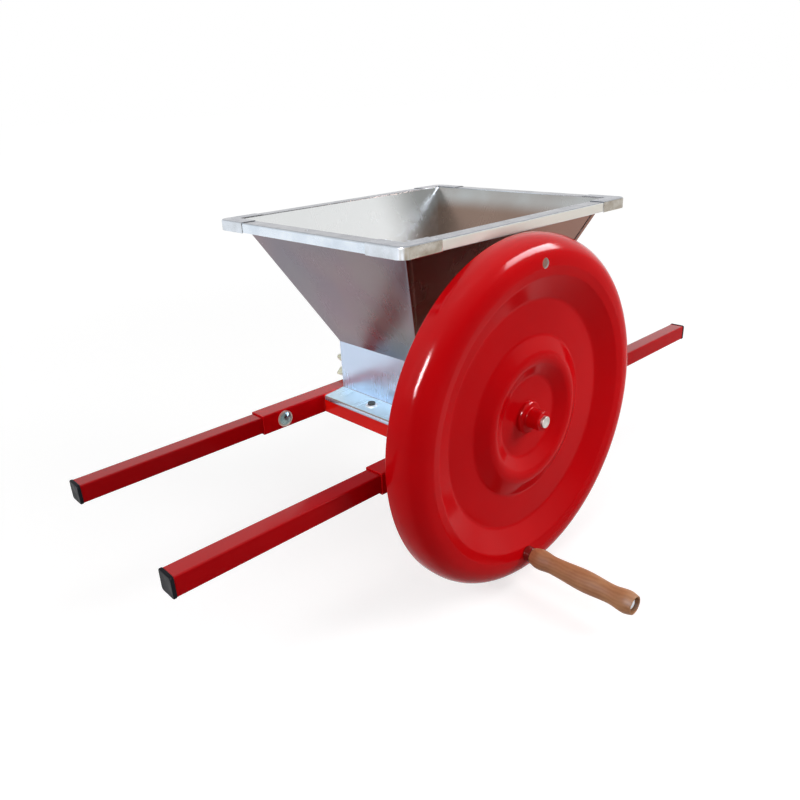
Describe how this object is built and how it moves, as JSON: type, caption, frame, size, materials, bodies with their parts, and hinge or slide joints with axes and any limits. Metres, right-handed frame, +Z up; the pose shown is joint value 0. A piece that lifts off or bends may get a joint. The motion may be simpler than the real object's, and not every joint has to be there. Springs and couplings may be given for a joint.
{
  "type": "hand cranked grape crusher",
  "caption": "Hand cranked fruit crusher: sheet hopper over two lobed rollers, flywheel with crank handle, and a tubular frame with telescopic arms that rest on a vat.",
  "frame": {"origin": "on the underside of the crank side rail, at mid length, below the middle of the hopper", "axes": "+X along the rails and arms, +Y along the roller shafts from the flywheel towards the gears, +Z up"},
  "size_m": [1.058, 0.6033, 0.4978],
  "materials": {
    "red_enamel": "glossy",
    "dark_red_enamel": "glossy",
    "black_plastic": "satin",
    "zinc_plated_steel": "satin",
    "stainless_sheet": "cold rolled, half mirror",
    "polished_stainless": "polished",
    "nylon": "satin",
    "cast_aluminium": "as cast, satin",
    "bright_steel": "bright drawn",
    "beech": "clear lacquer"
  },
  "bodies": {
    "frame": {"arm_lock_bolts": "zinc_plated_steel", "arm_lock_nuts": "zinc_plated_steel", "arm_lock_washers": "zinc_plated_steel", "bearing_drive_crank": "nylon", "bearing_drive_gear": "nylon", "bearing_driven_crank": "nylon", "bearing_driven_gear": "nylon", "bearing_screws": "zinc_plated_steel", "cross_bar_left": "red_enamel", "cross_bar_right": "red_enamel", "foot_bolts": "zinc_plated_steel", "foot_nuts": "zinc_plated_steel", "foot_washers": "zinc_plated_steel", "hopper_panel_crank_side": "stainless_sheet", "hopper_panel_gear_side": "stainless_sheet", "hopper_panel_left": "stainless_sheet", "hopper_panel_right": "stainless_sheet", "rail_crank_side": "red_enamel", "rail_gear_side": "red_enamel", "rim_corner_left_crank": "polished_stainless", "rim_corner_left_gear": "polished_stainless", "rim_corner_right_crank": "polished_stainless", "rim_corner_right_gear": "polished_stainless", "rim_strip_crank_side": "stainless_sheet", "rim_strip_gear_side": "stainless_sheet", "rim_strip_left": "stainless_sheet", "rim_strip_right": "stainless_sheet", "throat_guide_left": "stainless_sheet", "throat_guide_right": "stainless_sheet", "wall_bushes": "nylon"},
    "drive": {"drive_shaft": "bright_steel", "drive_roller": "cast_aluminium", "drive_gear": "nylon", "drive_end_washer": "zinc_plated_steel", "drive_end_bolt": "zinc_plated_steel", "flywheel_disc": "red_enamel", "flywheel_hub": "red_enamel", "hub_set_screw": "zinc_plated_steel", "hub_back_plate": "red_enamel", "shaft_spacer": "zinc_plated_steel", "crank_boss": "dark_red_enamel", "crank_bolt": "zinc_plated_steel", "crank_end_washer": "zinc_plated_steel", "crank_back_washer": "zinc_plated_steel", "crank_nut": "zinc_plated_steel"},
    "driven": {"driven_shaft": "bright_steel", "driven_roller": "cast_aluminium", "driven_gear": "nylon", "driven_end_washer": "zinc_plated_steel", "driven_end_bolt": "zinc_plated_steel"},
    "grip": {"grip": "beech"},
    "arm_left_crank": {"arm_left_crank": "red_enamel", "end_cap_left_crank": "black_plastic"},
    "arm_left_gear": {"arm_left_gear": "red_enamel", "end_cap_left_gear": "black_plastic"},
    "arm_right_crank": {"arm_right_crank": "red_enamel", "end_cap_right_crank": "black_plastic"},
    "arm_right_gear": {"arm_right_gear": "red_enamel", "end_cap_right_gear": "black_plastic"}
  },
  "joints": [
    {"name": "flywheel_turn", "type": "hinge", "parent": "frame", "child": "drive", "pos_m": [-0.04, 0, 0.046], "axis": [0, 1, 0], "continuous": true},
    {"name": "driven_roller_turn", "type": "hinge", "parent": "frame", "child": "driven", "pos_m": [0.04, 0, 0.046], "axis": [0, 1, 0], "continuous": true},
    {"name": "grip_spin", "type": "hinge", "parent": "drive", "child": "grip", "pos_m": [-0.05835, -0.174, -0.15567], "axis": [0, 1, 0], "continuous": true},
    {"name": "arm_left_crank_slide", "type": "slide", "parent": "frame", "child": "arm_left_crank", "axis": [-1, 0, 0], "range_m": [-0.0225, 0.1175]},
    {"name": "arm_left_gear_slide", "type": "slide", "parent": "frame", "child": "arm_left_gear", "axis": [-1, 0, 0], "range_m": [-0.0145, 0.1255]},
    {"name": "arm_right_crank_slide", "type": "slide", "parent": "frame", "child": "arm_right_crank", "axis": [1, 0, 0], "range_m": [-0.0005, 0.1395]},
    {"name": "arm_right_gear_slide", "type": "slide", "parent": "frame", "child": "arm_right_gear", "axis": [1, 0, 0], "range_m": [-0.0005, 0.1395]}
  ],
  "couplings": [
    {"joint": "driven_roller_turn", "follows": "flywheel_turn", "ratio": -1}
  ]
}
